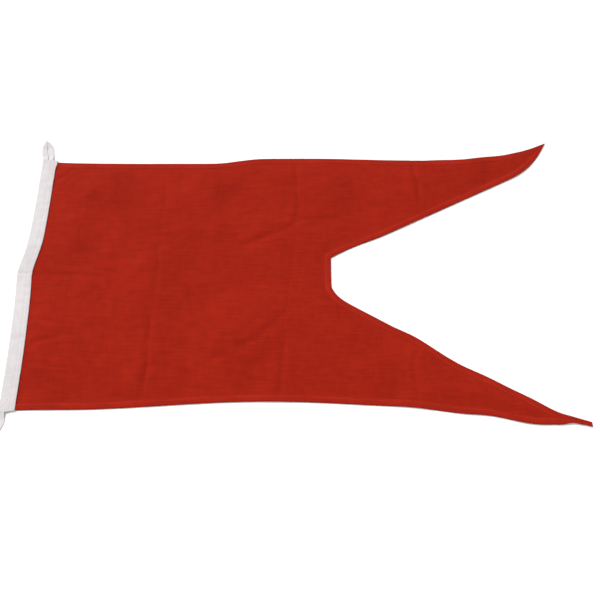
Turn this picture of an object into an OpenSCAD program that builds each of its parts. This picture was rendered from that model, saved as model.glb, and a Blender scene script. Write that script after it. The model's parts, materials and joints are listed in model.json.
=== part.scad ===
// Swallow-tail signal flag of sewn bunting, laid out flat: red cloth, a white heading and a tape loop
// at each end of it. The cloth is drawn in five panes that meet at its storage folds.
// X runs from the heading to the tails, Y along the heading and Z up from the surface it lies on.
// The origin is on the resting surface, at mid height of the heading, in line with the heading's ends.

/* [Cloth] */
// Height of the cloth along the heading
hoist_h = 446; // [430:2:470]
// Distance from the heading to the upper tail's tip
fly_l = 896; // [880:2:920]
// Distance from the heading to the notch between the tails
notch_x = 501; // [490:1:520]
// Height of the notch's short straight end
notch_h = 52; // [40:2:70]
// Thickness of one ply of bunting
cloth_t = 0.5; // [0.3:0.1:0.8]
// Width of the hems
hem_w = 10; // [7:1:12]
// Thickness of a hem: three plies and their folds
hem_t = 1.5; // [1.2:0.1:2]

/* [How it lies] */
// Rise and fall of the top edge along its length
top_wave = 5; // [0:1:8]
// How far the bottom edge draws in at its middle
bottom_draw = 11; // [0:1:14]
// How far the upper tail's tip curls outwards
upper_curl = 36; // [20:1:42]
// How far the lower tail swings outwards
lower_swing = 27; // [24:1:30]
// Slope of the upper tail's inner edge
upper_slope = 0.48; // [0.44:0.01:0.5]
// Slope of the lower tail's inner edge
lower_slope = 0.575; // [0.56:0.005:0.58]
// How far the heading bows out at its middle
heading_bow = 10; // [0:1:12]

/* [Heading] */
// Width of the heading
heading_w = 25; // [22:1:30]
// Length of the heading
heading_l = 458; // [450:2:480]
// How much further the heading's ends reach at their outer corners
end_slant = 4; // [0:1:6]
// Thickness of one ply of the heading tape
tape_t = 0.8; // [0.6:0.1:1]

/* [Loops] */
// Length of a loop outside the heading
loop_l = 40; // [34:1:50]
// Width of the strap that the loops are folded from
strap_w = 8.3; // [7.5:0.1:8.5]
// Thickness of the strap
strap_t = 0.5; // [0.4:0.1:0.7]
// Width of the eye of a loop, at its widest
eye_w = 5.2; // [5:0.1:6]
// How far the upper loop leans outwards, in degrees
upper_lean = 12; // [0:1:15]
// How far the lower loop leans outwards, in degrees
lower_lean = 18; // [0:1:18]

/* [Folds] */
// Distance from the heading to the first storage fold
first_fold_x = 206; // [190:1:215]
// Distance between two storage folds
fold_pitch = 218; // [205:1:225]

/* [Hidden] */
half_h = hoist_h / 2;
half_tape = heading_w / 2;
half_l = heading_l / 2;
fold_x = [for (i = [0:2]) first_fold_x + i * fold_pitch];
fold_gap = 0.6;                 // between two panes
far = 2000;                     // beyond every edge
step_x = 15;                    // between two points of an edge
thread_w = 0.6;
thread_t = 0.3;

// Where the lower tail ends: its last stretch is rolled into a narrow strip.
lower_tip_x = fly_l - 6;
roll_x = fly_l - 56;            // where the rolled strip starts
roll_slope = 0.31;
roll_w = 13;
roll_taper = 0.13;

// Plies in the heading, from the bottom up: tape, tucked cloth, straps or turned-in edge, tape.
tuck_z = tape_t;
strap_z = tuck_z + cloth_t;
cover_z = strap_z + 2 * strap_t;
heading_t = cover_z + tape_t;
turn_in_w = 5.4;                // tape turned in along the seam
tuck_w = 14;                    // cloth inside the heading
tuck_l = hoist_h - 6;
step_w = 0.8;                   // where the cloth steps up into the heading
seam_gap = 0.3;
anchor_l = 60;                  // strap buried in the heading
seam_rows = [3, 8];             // stitch rows, from the seam
inner_gap = 0.1;                // between a strap and the heading's folded edge
// The upper loop leaves the heading with its legs side by side, the lower one with one on the other.
upper_legs_w = 2 * strap_w + 0.8;
lower_legs_w = strap_w + 0.4;
upper_base_x = -half_tape + tape_t + inner_gap + upper_legs_w / 2;
lower_base_x = -half_tape - 0.8 + tape_t + inner_gap + lower_legs_w / 2;
mitre_l = 12;                   // length of the strap's fold at the tip
splay_l = 12;                   // over which the two legs part
root_l = 8;                     // run of the legs below a loop's base, before it is cut off
tack_w = 12;                    // box of stitches over the strap
tack_l = 16;
tack_y = -12;                   // middle of the box, from the heading's end
hem_row = 8;                    // stitch row, from the edge

// A smooth hump from -1 to 1, and a smooth rise from 0 to 1.
function hump(u) = abs(u) < 1 ? (1 + cos(180 * u)) / 2 : 0;
function rise(u) = (1 - cos(180 * min(max(u, 0), 1))) / 2;

// Edges of the cloth as it lies, each a height y over the distance x from the heading.
function top_y(x) =
    half_h - 1 + 6 * exp(-x / 130)
    + top_wave * (2 * rise((x - 290) / 100) - 1 - 1.2 * rise((x - 440) / 260))
    + 2.3 * hump((x - 790) / 50)
    + upper_curl * pow(max(0, x - fly_l + 151) / 151, 2);
function upper_inner_y(x) =
    notch_h / 2 + 0.2 + upper_slope * (x - notch_x)
    + 4 * hump((x - notch_x - 29) / 70)
    + (upper_curl + 4) * pow(max(0, x - fly_l + 86) / 86, 3);
function lower_cut(x) =
    -notch_h / 2 - 12 - lower_slope * (x - notch_x)
    + 14 * exp(-max(0, x - notch_x) / 8)
    + 2.3 * hump((x - 630) / 35) - 5 * hump((x - 698) / 62) - 1.7 * hump((x - 760) / 45);
function lower_inner_y(x) =
    x < roll_x ? lower_cut(x) : lower_cut(roll_x) - roll_slope * (x - roll_x);
function bottom_curve(x) =
    -half_h - 2 + bottom_draw * hump((x - 385) / 300)
    - lower_swing * (0.42 * rise((x - 600) / 130) + 0.58 * rise((x - 715) / 105));
function bottom_y(x) =
    x < roll_x + 12 ? bottom_curve(x) : lower_inner_y(x) - roll_w + roll_taper * (x - roll_x);

// The heading's centreline: straight at its ends, bowed at the fold across its middle.
function heading_x(y) = -heading_bow * (y > 0 ? exp(-pow(y / 45, 2)) : exp(y / 90));

function steps(a, b, size) =
    let (n = ceil(abs(b - a) / size)) [for (i = [0:n]) a + (b - a) * i / n];
function unit(v) = v / norm(v);
function right_of(v) = [v[1], -v[0]];

// An open line of points moved d to its right, each point along the mean of its neighbours' normals.
function beside(line, d) = [
    for (i = [0:len(line) - 1])
        let (
            before = unit(line[max(i, 1)] - line[max(i, 1) - 1]),
            after = unit(line[min(i, len(line) - 2) + 1] - line[min(i, len(line) - 2)]),
            mean = unit(before + after)
        )
        line[i] + right_of(mean) * d / (mean * after)
];

// The cloth's edges, walked clockwise, so that the cloth is on the right.
// Where a tail is too narrow for an inset of d, its points are left out.
function tail_holds(width, d) = width > 2.2 * d + 1;
function top_line(d) = [
    for (x = steps(0, fly_l, step_x))
        if (x < notch_x || tail_holds(top_y(x) - upper_inner_y(x), d)) [x, top_y(x)]
];
function upper_inner_line(d) = [
    for (x = steps(fly_l, notch_x, step_x))
        if (tail_holds(top_y(x) - upper_inner_y(x), d)) [x, upper_inner_y(x)]
];
function lower_inner_line(d) = [
    for (x = concat([for (dx = [0, 3, 8, 15]) notch_x + dx],
                    steps(notch_x + 25, lower_tip_x, step_x)))
        if (tail_holds(lower_inner_y(x) - bottom_y(x), d)) [x, lower_inner_y(x)]
];
function bottom_line(d) = [
    for (x = steps(lower_tip_x, 0, step_x))
        if (x < notch_x || tail_holds(lower_inner_y(x) - bottom_y(x), d)) [x, bottom_y(x)]
];
function cloth_outline(d) = concat(
    beside(top_line(d), d),
    beside(concat(upper_inner_line(d), lower_inner_line(d)), d),
    beside(bottom_line(d), d)
);

// A strip along the heading, from x1 to x2 off its centreline. Its ends slant as the heading's do.
function reach(x, length) = length / 2 - end_slant * (x + half_tape) / heading_w;
function heading_strip(x1, x2, length) = concat(
    [for (y = steps(-reach(x1, length), reach(x1, length), step_x)) [heading_x(y) + x1, y]],
    [for (y = steps(reach(x2, length), -reach(x2, length), step_x)) [heading_x(y) + x2, y]]
);

module strip_plate(x1, x2, z1, z2, length = heading_l) {
    translate([0, 0, z1])
        linear_extrude(z2 - z1)
            polygon(heading_strip(x1, x2, length));
}

// Everything between two folds, and above or below the middle where side is 1 or -1.
module between(x1, x2, side = 0) {
    y1 = side > 0 ? 0 : -far;
    y2 = side < 0 ? 0 : far;
    intersection() {
        children();
        translate([x1 + fold_gap / 2, y1, -1])
            cube([x2 - x1 - fold_gap, y2 - y1, hem_t + thread_t + 2]);
    }
}

// The whole cloth, one ply.
module whole_cloth() {
    linear_extrude(cloth_t)
        polygon(cloth_outline(0));
}

// A border from d1 to d2 inside the cloth's edge, all round except along the heading.
module border(d1, d2, z1, z2) {
    translate([0, 0, z1])
        difference() {
            linear_extrude(z2 - z1)
                polygon(cloth_outline(d1));
            translate([0, 0, -1])
                linear_extrude(z2 - z1 + 2)
                    polygon(concat(cloth_outline(d2), [[-far, -half_h], [-far, half_h]]));
        }
}

// The hems: the cloth's edge turned over twice, on top of the cloth.
module whole_hem() { border(0, hem_w, cloth_t, hem_t); }

// The thread of the hems: one row on top of them.
module whole_hem_thread() { border(hem_row, hem_row + thread_w, hem_t, hem_t + thread_t); }

// Everything up to a line just past the heading's seam.
module heading_room(past = seam_gap) {
    translate([0, 0, -1])
        linear_extrude(heading_t + 2)
            polygon(concat(
                [[-far, -far], [-far, far]],
                [for (y = steps(half_l, -half_l, step_x)) [heading_x(y) + half_tape + past, y]]
            ));
}

// Everything beyond the heading's upper end, seen from the middle of that end.
function end_y(x) = -end_slant * (x + half_tape) / heading_w;
module past_end(gap) {
    translate([0, 0, -1])
        linear_extrude(heading_t + 2)
            polygon([[-far, end_y(-far) + gap], [-far, far], [far, far], [far, end_y(far) + gap]]);
}

module hoist_pane() {
    color("firebrick")
        difference() {
            between(0, fold_x[0]) whole_cloth();
            heading_room();
        }
}

// The cloth's hoist edge, which steps up at the seam and is tucked into the heading.
module hoist_tucked_edge() {
    color("firebrick") {
        strip_plate(half_tape + seam_gap, half_tape + step_w, cloth_t, strap_z, tuck_l);
        strip_plate(half_tape - tuck_w, half_tape + step_w, tuck_z, strap_z, tuck_l);
    }
}

module middle_pane() { color("firebrick") between(fold_x[0], fold_x[1]) whole_cloth(); }
module notch_pane() { color("firebrick") between(fold_x[1], fold_x[2]) whole_cloth(); }
module upper_tail() { color("firebrick") between(fold_x[2], far, 1) whole_cloth(); }
module lower_tail() { color("firebrick") between(fold_x[2], far, -1) whole_cloth(); }

module hoist_pane_hems() {
    color("brown")
        difference() {
            between(0, fold_x[0]) whole_hem();
            heading_room(step_w);
        }
}

module middle_pane_hems() { color("brown") between(fold_x[0], fold_x[1]) whole_hem(); }
module notch_pane_hems() { color("brown") between(fold_x[1], fold_x[2]) whole_hem(); }
module upper_tail_hems() { color("brown") between(fold_x[2], far, 1) whole_hem(); }
module lower_tail_hems() { color("brown") between(fold_x[2], far, -1) whole_hem(); }

module hoist_pane_hem_thread() {
    color("darkred")
        difference() {
            between(0, fold_x[0]) whole_hem_thread();
            heading_room(step_w);
        }
}

module middle_pane_hem_thread() {
    color("darkred") between(fold_x[0], fold_x[1]) whole_hem_thread();
}

module notch_pane_hem_thread() {
    color("darkred") between(fold_x[1], fold_x[2]) whole_hem_thread();
}

module upper_tail_hem_thread() {
    color("darkred") between(fold_x[2], far, 1) whole_hem_thread();
}

module lower_tail_hem_thread() {
    color("darkred") between(fold_x[2], far, -1) whole_hem_thread();
}

// A strip folded along its outer edge, with its edges turned in along the seam.
module heading_tape() {
    color("whitesmoke") {
        strip_plate(-half_tape, half_tape, 0, tape_t);
        strip_plate(-half_tape, -half_tape + tape_t, 0, heading_t);
        strip_plate(-half_tape, half_tape, cover_z, heading_t);
        strip_plate(half_tape - turn_in_w, half_tape, strap_z, heading_t);
    }
}

module heading_seam_thread() {
    color("white")
        for (row = seam_rows)
            strip_plate(half_tape - row - thread_w, half_tape - row,
                        heading_t, heading_t + thread_t, heading_l - 4);
}

// A loop seen from its base: the strap's two legs splay out to the eye and meet in a mitre.
module loop_outline(legs_w) {
    half_w = strap_w + eye_w / 2;
    tip = [[half_w - 3.5, loop_l - 7], [half_w, loop_l - 18]];
    polygon(concat(
        [[-legs_w / 2, -root_l], [-legs_w / 2, 0], [-half_w, splay_l]],
        [for (p = [tip[1], tip[0]]) [-p[0], p[1]]],
        [[0, loop_l]],
        tip,
        [[half_w, splay_l], [legs_w / 2, 0], [legs_w / 2, -root_l]]
    ));
}

module eye_outline(legs_w) {
    lap = strap_w - legs_w / 2;
    shoulder_y = loop_l - mitre_l - 7;
    start = lap > 0 ? [[0, part_y(lap)]]
        : [[-lap, 0], [-lap, -root_l - 1], [lap, -root_l - 1], [lap, 0]];
    polygon(concat(
        start,
        [[-eye_w / 2, splay_l], [-eye_w / 2, shoulder_y], [0, loop_l - mitre_l - 1],
         [eye_w / 2, shoulder_y], [eye_w / 2, splay_l]]
    ));
}

// Height at which two legs that lap over each other by this much at the base come apart.
function part_y(lap) = splay_l * lap / (lap + eye_w / 2);

module loop(lean, legs_w) {
    lap = strap_w - legs_w / 2;
    color("whitesmoke")
        rotate([0, 0, lean])
            difference() {
                union() {
                    linear_extrude(strap_t)
                        loop_outline(legs_w);
                    // The mitre: the strap folded over itself
                    intersection() {
                        linear_extrude(2 * strap_t)
                            loop_outline(legs_w);
                        translate([-far / 2, loop_l - mitre_l, 0])
                            cube([far, far, 2 * strap_t]);
                    }
                    // Where one leg lies on the other
                    if (lap > 0)
                        linear_extrude(2 * strap_t)
                            polygon([[-lap, -root_l], [lap, -root_l], [lap, 0],
                                     [0, part_y(lap)], [-lap, 0]]);
                }
                translate([0, 0, -1])
                    linear_extrude(2 * strap_t + 2)
                        eye_outline(legs_w);
            }
}

// The two legs of a loop's strap, buried in the end of the heading.
module anchor(base_x, legs_w) {
    off = (legs_w - strap_w) / 2;
    lift = legs_w < 2 * strap_w ? strap_t : 0;
    color("whitesmoke")
        difference() {
            for (side = [-1, 1])
                translate([base_x + side * off - strap_w / 2, -anchor_l,
                           strap_z + max(0, side) * lift])
                    cube([strap_w, anchor_l + 1, strap_t]);
            past_end(0);
        }
}

// Four rows of stitches in a box, through the heading and the strap in it.
module tack(base_x) {
    color("white")
        translate([base_x, tack_y, heading_t])
            linear_extrude(thread_t)
                difference() {
                    square([tack_w, tack_l], center = true);
                    square([tack_w - 2 * thread_w, tack_l - 2 * thread_w], center = true);
                }
}

module at_upper_end() {
    translate([0, half_l, 0]) children();
}

module at_lower_end() {
    mirror([0, 1, 0]) at_upper_end() children();
}

module upper_loop_anchor() { at_upper_end() anchor(upper_base_x, upper_legs_w); }
module lower_loop_anchor() { at_lower_end() anchor(lower_base_x, lower_legs_w); }
module upper_loop_tack() { at_upper_end() tack(upper_base_x - 1); }
module lower_loop_tack() { at_lower_end() tack(lower_base_x + 2); }
module upper_loop() {
    at_upper_end()
        intersection() {
            translate([upper_base_x, 0, 0]) loop(upper_lean, upper_legs_w);
            past_end(fold_gap);
        }
}

module lower_loop() {
    at_lower_end()
        intersection() {
            translate([lower_base_x, 0, 0]) loop(lower_lean, lower_legs_w);
            past_end(fold_gap);
        }
}

heading_tape();
heading_seam_thread();
upper_loop_anchor();
lower_loop_anchor();
upper_loop_tack();
lower_loop_tack();
upper_loop();
lower_loop();
hoist_pane();
hoist_tucked_edge();
hoist_pane_hems();
hoist_pane_hem_thread();
middle_pane();
middle_pane_hems();
middle_pane_hem_thread();
notch_pane();
notch_pane_hems();
notch_pane_hem_thread();
upper_tail();
upper_tail_hems();
upper_tail_hem_thread();
lower_tail();
lower_tail_hems();
lower_tail_hem_thread();
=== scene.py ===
"""Looks of a swallow-tail signal flag that lies flat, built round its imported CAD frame.

Every piece is first made in flat coordinates, x, y and a height h over the middle of its cloth, and then
lifted onto the way the flag lies. Lengths are in metres.
"""

import json
import math

import bpy
import numpy as np
from mathutils import Euler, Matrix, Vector, noise
from mathutils.bvhtree import BVHTree
from mathutils.geometry import delaunay_2d_cdt


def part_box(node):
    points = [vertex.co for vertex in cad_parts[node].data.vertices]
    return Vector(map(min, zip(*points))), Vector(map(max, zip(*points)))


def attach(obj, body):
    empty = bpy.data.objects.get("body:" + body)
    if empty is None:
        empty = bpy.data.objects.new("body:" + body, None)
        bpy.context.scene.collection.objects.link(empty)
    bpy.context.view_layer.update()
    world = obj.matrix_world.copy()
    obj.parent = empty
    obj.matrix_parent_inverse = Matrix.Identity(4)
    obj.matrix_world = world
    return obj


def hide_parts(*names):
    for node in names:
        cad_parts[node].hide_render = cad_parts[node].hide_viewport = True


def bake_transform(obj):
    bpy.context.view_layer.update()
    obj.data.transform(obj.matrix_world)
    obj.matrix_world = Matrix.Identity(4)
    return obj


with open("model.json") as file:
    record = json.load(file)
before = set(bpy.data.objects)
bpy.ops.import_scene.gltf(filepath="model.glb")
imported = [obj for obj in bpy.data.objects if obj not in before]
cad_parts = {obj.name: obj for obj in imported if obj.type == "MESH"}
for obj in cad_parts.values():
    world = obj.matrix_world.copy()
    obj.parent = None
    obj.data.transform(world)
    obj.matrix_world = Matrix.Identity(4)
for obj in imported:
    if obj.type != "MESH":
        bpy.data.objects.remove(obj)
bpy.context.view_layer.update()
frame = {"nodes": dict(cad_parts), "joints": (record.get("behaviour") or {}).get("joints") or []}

MM = 0.001
HINGES = {j["name"]: Vector(j["pos_m"]) for j in frame["joints"]}
AXES = {j["name"]: Vector(j["axis"]) for j in frame["joints"]}
FOLD_X = [HINGES[name].x for name in ("first_fold", "second_fold", "upper_tail_fold")]
BEND_L = 22 * MM                    # length of cloth that turns at a fold
BEND_STEP = 1.4 * MM                # size of the facets there, across the fold

PLY_T = 0.45 * MM                   # one ply of bunting
REST_Z = 0.5 * MM                   # middle of the cloth, where it lies flat on the floor
PANE_GAP = 0.6 * MM                 # between the CAD's panes, at a fold
GRID = 4 * MM                       # size of the cloth's facets
HEM_W = 10 * MM
HEM_ROW = 8 * MM                    # stitch row, from the edge
HEM_STITCH = (3.4 * MM, 2.7 * MM)   # pitch and length of its stitches
RIM_INSET = 0.6 * MM                # the cloth's rim, in from the hem's outer edge

EDGE_STEP = 3.5 * MM                # between the points of a hemmed edge
SEAM_GAP = 1.6 * MM                 # the CAD's cloth and hems end this close to the heading, at most
CORNER_TURN = math.radians(27)      # an outline that turns by more than this has a corner there
TIP_TURN = math.radians(80)         # and by more than this, a hem that ends
TURN_L = 14 * MM                    # a hem's normals turn into the fold over this length
ROW_SHARE = 0.866                   # between rows of even triangles, over the step between columns

HALF_TAPE = 12.5 * MM               # half the heading's width
HEAD_HALF_L = HINGES["upper_loop_flip"].y + 1.7 * MM
END_SLANT = 4 * MM                  # how much shorter the heading is on its seam side, at each end
HEAD_BOW = 10 * MM                  # how far its middle bows out, away from the cloth
TUCK_W = 14 * MM                    # cloth inside the heading
TUCK_Z = 0.8 * MM                   # middle of the cloth there
SEAM_ROWS = (9.2 * MM, 4.2 * MM)    # stitch rows, from the heading's centreline
SEAM_STITCH = (3 * MM, 2.3 * MM)    # pitch and length of their stitches
SEAM_HOLD = 30 * MM                 # how far into the cloth the heading's own lie is felt
TACK_HALF_W = 5.7 * MM              # the box of stitches through the heading and a strap
TACK_NEAR, TACK_FAR = 4 * MM, 20 * MM       # its two ends, from the heading's end

STRAP_T = 0.45 * MM                 # one ply of the loops' strap
HALF_STRAP = 4.15 * MM
ANCHOR_L = 58 * MM                  # strap buried in the heading
LOOP_L = 42 * MM                    # strap outside it
LOOP_BACK = 1.9 * MM                # where the strap comes out, in from the heading's end

SETTLE_STEP = 8 * MM                # size of the simulated cloth's facets
SETTLE_FRAMES = 45
SETTLE_SIDEWAYS = 2 * MM            # the most that is kept of its movement in the plane
SETTLE_RISE = 12 * MM               # its rise levels off towards this
PRESSED_W = 34 * MM                 # width of the edge that the weight of the hems keeps down
WAVE_H = 3.2 * MM                   # low waves all over the cloth
QUICK_WAVE_H = 3 * MM


# --- Small mathematics -----------------------------------------------------------------------------

def smooth(t):
    """A soft step, from 0 at 0 to 1 at 1."""
    t = np.clip(t, 0, 1)
    return t * t * (3 - 2 * t)


def unit(v):
    """Vectors brought to length 1."""
    return v / np.linalg.norm(v, axis=-1, keepdims=True)


def along(points):
    """Distance of each point of a line from the line's start."""
    return np.concatenate([[0], np.cumsum(np.linalg.norm(np.diff(points, axis=0), axis=1))])


def soft_noise(x, y, size, seed):
    """Smooth noise from about -1 to 1 on arrays of points, with features of the given size."""
    return np.array([
        noise.noise(Vector((a / size, b / size, seed))) for a, b in zip(np.ravel(x), np.ravel(y))
    ]).reshape(np.shape(x))


# --- Flat outlines, from the CAD -------------------------------------------------------------------

def underside(node):
    """The outline of a CAD node's underside, anticlockwise."""
    mesh = frame["nodes"][node].data
    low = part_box(node)[0].z
    numbers, places = {}, {}
    for v in mesh.vertices:
        key = (round(v.co.x / MM, 3), round(v.co.y / MM, 3))
        places[v.index] = numbers.setdefault(key, len(numbers))
    edges = set()
    for face in mesh.polygons:
        if all(abs(mesh.vertices[v].co.z - low) < 1e-6 for v in face.vertices):
            ids = [places[v] for v in face.vertices]
            edges.update((a, b) for a, b in zip(ids, ids[1:] + ids[:1]) if a != b)
    after = {a: b for a, b in edges if (b, a) not in edges}
    points = np.array(list(numbers)) * MM
    here = first = min(after)
    loop = []
    while not loop or here != first:
        loop.append(points[here])
        here = after[here]
    loop = np.array(loop)
    x, y = loop.T
    return loop if (x * np.roll(y, -1) - np.roll(x, -1) * y).sum() > 0 else loop[::-1]


def on_fold(point):
    """Whether a point of an outline lies on a storage fold."""
    return any(abs(point[0] - x) < PANE_GAP for x in FOLD_X)


def free_edges(loop):
    """The stretches of a pane's outline that are neither on a fold nor along the heading."""
    n = len(loop)
    ends = [(loop[i], loop[(i + 1) % n]) for i in range(n)]
    seam = HALF_TAPE + SEAM_GAP
    cut = [(on_fold(a) and on_fold(b)) or (a[0] < seam and b[0] < seam) for a, b in ends]
    start = next(i for i in range(n) if cut[i] and not cut[(i + 1) % n])
    lines, line = [], []
    for i in np.arange(start + 1, start + n + 1) % n:
        if not cut[i]:
            line = line or [ends[i][0].copy()]
            line.append(ends[i][1].copy())
        elif line:
            lines.append(np.array(line))
            line = []
    for line in lines:
        for end in (0, -1):
            for x in FOLD_X:
                if abs(line[end][0] - x) < PANE_GAP:
                    line[end][0] = x
    return lines


def curved(points, step):
    """A smooth line through the points, sharp at its corners, with a point about every step."""
    keep = [points[0]]
    for p in points[1:]:
        if np.linalg.norm(p - keep[-1]) > 0.2 * MM:
            keep.append(p)
    points = np.array(keep)
    heads = unit(np.diff(points, axis=0))
    turns = (heads[1:] * heads[:-1]).sum(1)
    corners = [0, *(np.flatnonzero(turns < math.cos(CORNER_TURN)) + 1), len(points) - 1]
    out = []
    for a, b in zip(corners, corners[1:]):
        part = points[a : b + 1]
        part = np.vstack([2 * part[0] - part[1], part, 2 * part[-1] - part[-2]])
        for p0, p1, p2, p3 in zip(part, part[1:], part[2:], part[3:]):
            length = float(np.linalg.norm(p2 - p1))
            m1, m2 = unit(p2 - p0) * length, unit(p3 - p1) * length
            n = max(1, round(length / step))
            for t in np.arange(n) / n:
                out.append(
                    p1 * (1 - t) ** 2 * (1 + 2 * t) + m1 * t * (1 - t) ** 2
                    + p2 * t * t * (3 - 2 * t) - m2 * t * t * (1 - t)
                )
    return np.array([*out, points[-1]])


def at_tips(line):
    """A line cut in two wherever it turns back on itself."""
    heads = unit(np.diff(line, axis=0))
    tips = np.flatnonzero((heads[1:] * heads[:-1]).sum(1) < math.cos(TIP_TURN)) + 1
    stops = [0, *tips, len(line) - 1]
    return [line[a : b + 1] for a, b in zip(stops, stops[1:])]


def finer(line):
    """A line with more points where it runs round a fold."""
    points = [line[:1]]
    for a, b in zip(line, line[1:]):
        x = (a[0] + b[0]) / 2
        turns = any(fold < x < fold + BEND_L + HEM_W for fold in FOLD_X)
        n = math.ceil(float(np.linalg.norm(b - a)) / BEND_STEP) if turns else 1
        points.append(a + (b - a) * (np.arange(1, n + 1) / n)[:, None])
    return np.vstack(points)


def inwards(line):
    """The inward normal at each point of an anticlockwise line, as long as a mitre needs."""
    heads = unit(np.diff(line, axis=0))
    after = np.vstack([heads, heads[-1:]])
    mean = unit(np.vstack([heads[:1], heads]) + after)
    left = np.stack([-mean[:, 1], mean[:, 0]], 1) / np.maximum((mean * after).sum(1), 0.5)[:, None]
    # The hems of two panes meet along their fold: towards it, the normals turn to lie in it.
    s = along(line)
    for end in (0, -1):
        if on_fold(line[end]):
            turned = smooth(np.abs(s - s[end]) / TURN_L)[:, None]
            left = left * turned + np.array([0, 1 / left[end][1]]) * (1 - turned)
    return left


def hem_reach(line, name):
    """How wide the hem is at each point, before it meets the hem of the edge across."""
    left = unit(inwards(line))
    a = np.vstack([other[:-1] for other in EDGES[name]])
    d = np.vstack([np.diff(other, axis=0) for other in EDGES[name]])
    reach = np.full(len(line), HEM_W)
    for i, (p, n) in enumerate(zip(line, left)):
        across = n[0] * d[:, 1] - n[1] * d[:, 0]
        across[np.abs(across) < 1e-12] = 1e-12
        w = a - p
        t = (w[:, 0] * d[:, 1] - w[:, 1] * d[:, 0]) / across
        s = (w[:, 0] * n[1] - w[:, 1] * n[0]) / across
        near = np.minimum(np.linalg.norm(a - p, axis=1), np.linalg.norm(a + d - p, axis=1)) < 0.05 * MM
        hits = t[(t > 0.1 * MM) & (s >= 0) & (s <= 1) & ~near]
        if len(hits):
            reach[i] = min(HEM_W, 0.49 * hits.min())
    for end, following in ((0, 1), (-1, -2)):
        if not on_fold(line[end]) and line[end][0] > 2 * HALF_TAPE:
            reach[end] = min(reach[end], 0.5 * reach[following])
    return np.maximum(reach, 0.3 * MM)


# Each pane: its CAD nodes' stem, the body before its fold, its own body, and the fold's number.
PANES = {
    "hoist": ("hoist_pane", None, "hoist_part", None),
    "middle": ("middle_pane", "hoist_part", "middle_part", 0),
    "notch": ("notch_pane", "middle_part", "notch_part", 1),
    "upper_tail": ("upper_tail", "notch_part", "upper_tail_part", 2),
    "lower_tail": ("lower_tail", "notch_part", "lower_tail_part", 2),
}


def walked(lines):
    """The free edges in turn, from the heading round to the heading, with the gaps at the folds closed."""
    ordered = []
    here = next(line for line in lines if line[0][0] < 2 * HALF_TAPE and line[0][1] < 0)
    while True:
        ordered.append(here)
        following = [line for line in lines if np.linalg.norm(line[0] - here[-1]) < 1.5 * MM]
        if not following:
            return ordered
        here[-1] = following[0][0] = (here[-1] + following[0][0]) / 2
        here = following[0]


PLAIN_EDGES = {name: free_edges(underside(pane[0])) for name, pane in PANES.items()}
ROUND = walked([line for lines in PLAIN_EDGES.values() for line in lines])
EDGES = {
    name: [finer(part) for line in lines for part in at_tips(curved(line, EDGE_STEP))]
    for name, lines in PLAIN_EDGES.items()
}
WHOLE_EDGE = np.vstack([curved(line, SETTLE_STEP)[:-1] for line in ROUND] + [ROUND[-1][-1:]])


# --- The heading's line, and how the flag lies -----------------------------------------------------

def head_x(y):
    """The heading's centreline, bowed at the fold across its middle."""
    return -HEAD_BOW * np.where(y > 0, np.exp(-(y / (45 * MM)) ** 2), np.exp(np.minimum(y, 0) / (90 * MM)))


def head_lift(y):
    """How far the heading stands off the floor."""
    wave = 0.5 + 0.5 * np.sin(y / (33 * MM) + 0.8) * np.sin(y / (78 * MM) - 0.4)
    crease = 1.1 * np.exp(-np.abs(y - 4 * MM) / (17 * MM)) - 1.1 * np.exp(-((y - 4 * MM) / (3 * MM)) ** 2)
    return 0.8 * (0.7 * wave + crease + 0.25) * MM


# Pressed creases, in mm: two ends, height, width, and whether it stands up (1) or is pressed down (-1).
CREASES = [
    ((202, -230), (209, -60), 3.2, 15, -1),
    ((208, -80), (214, 232), 1.7, 16, -1),
    ((418, -224), (421, -96), 3.2, 12, -1),
    ((420, -125), (446, 95), 1.1, 13, -1),
    ((445, 85), (443, 230), 1.8, 12, -1),
    ((628, -230), (630, -118), 2.6, 12, -1),
    ((649, 228), (662, 112), 3.4, 12, -1),
    ((332, 43), (462, 102), 3.4, 17, -1),
    ((446, 98), (530, 104), 1.3, 11, -1),
    ((440, 88), (504, 48), 1.3, 10, -1),
    ((294, -154), (398, -100), 2.9, 25, -1),
    ((380, -110), (446, -56), 2.4, 20, -1),
    ((52, 20), (92, 200), 3.2, 30, 1),
    ((118, 128), (124, 212), 1.8, 20, 1),
    ((306, 60), (296, 204), 2.2, 26, 1),
    ((40, -58), (225, 45), 2.8, 30, 1),
    ((5, 4), (140, -8), 1.5, 12, -1),
    ((9, -72), (66, -89), 2.2, 7, -1),
    ((9, -121), (98, -101), 1.9, 11, -1),
    ((9, -148), (84, -160), 2.0, 8, -1),
    ((9, 170), (50, 210), 2.0, 9, -1),
    ((9, 96), (70, 112), 1.2, 8, 1),
    ((12, -206), (74, -214), 1.6, 8, 1),
    ((676, 206), (866, 236), 4.6, 25, 1),
    ((690, -196), (828, -238), 2.2, 14, 1),
    ((842, -246), (888, -262), 1.8, 5, 1),
    ((846, 246), (893, 262), 2.4, 9, 1),
]


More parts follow.
